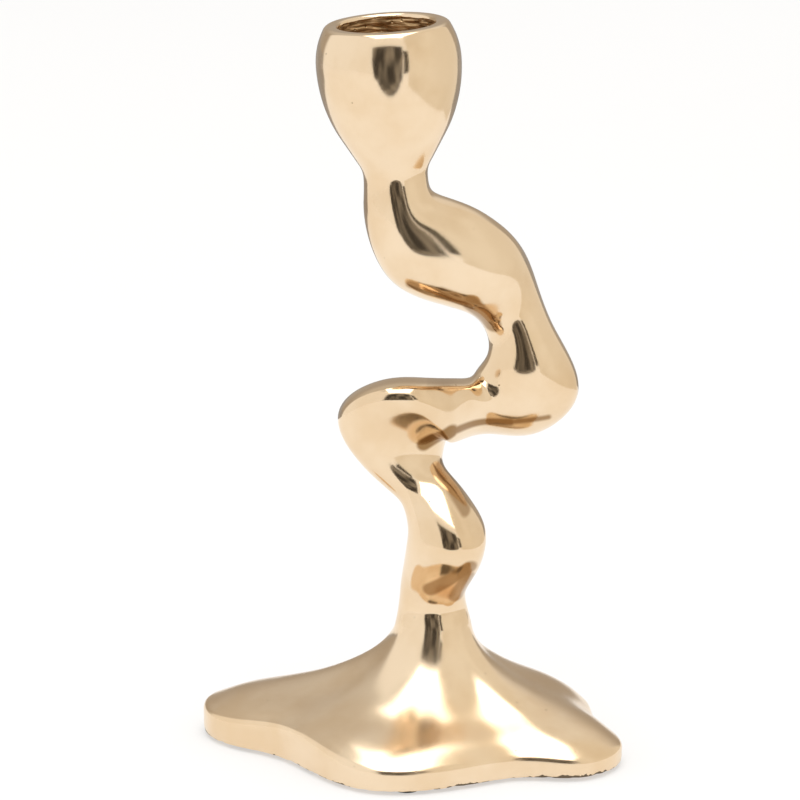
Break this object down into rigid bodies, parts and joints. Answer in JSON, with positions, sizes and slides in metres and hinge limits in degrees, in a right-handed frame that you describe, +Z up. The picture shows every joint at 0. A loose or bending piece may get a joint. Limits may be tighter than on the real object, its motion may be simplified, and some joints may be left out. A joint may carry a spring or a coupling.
{
  "type": "candle holder",
  "caption": "Free-standing brass candle holder: a goblet cup for a taper candle on a thick stem that swings from side to side, rising from a lobed, puddle-like foot.",
  "frame": {"origin": "middle of the part's bounding box at table height, under the pads of the foot", "axes": "+Z up, front towards -Y, +X to the right seen from the front"},
  "size_m": [0.0986, 0.0743, 0.1741],
  "materials": {
    "polished_brass": "sand cast and hand polished, with fine scratches and small pits; raw as cast inside the candle socket, under the foot and along its lower edge",
    "steel": "zinc-plated",
    "felt": "dense black felt"
  },
  "bodies": {
    "root": {"candle_cup": "polished_brass", "cup_stud": "steel", "stem": "polished_brass", "foot": "polished_brass", "foot_screw": "steel", "spring_washer": "steel", "flat_washer": "steel", "foot_pad_1": "felt", "foot_pad_2": "felt", "foot_pad_3": "felt", "foot_pad_4": "felt"}
  },
  "joints": []
}
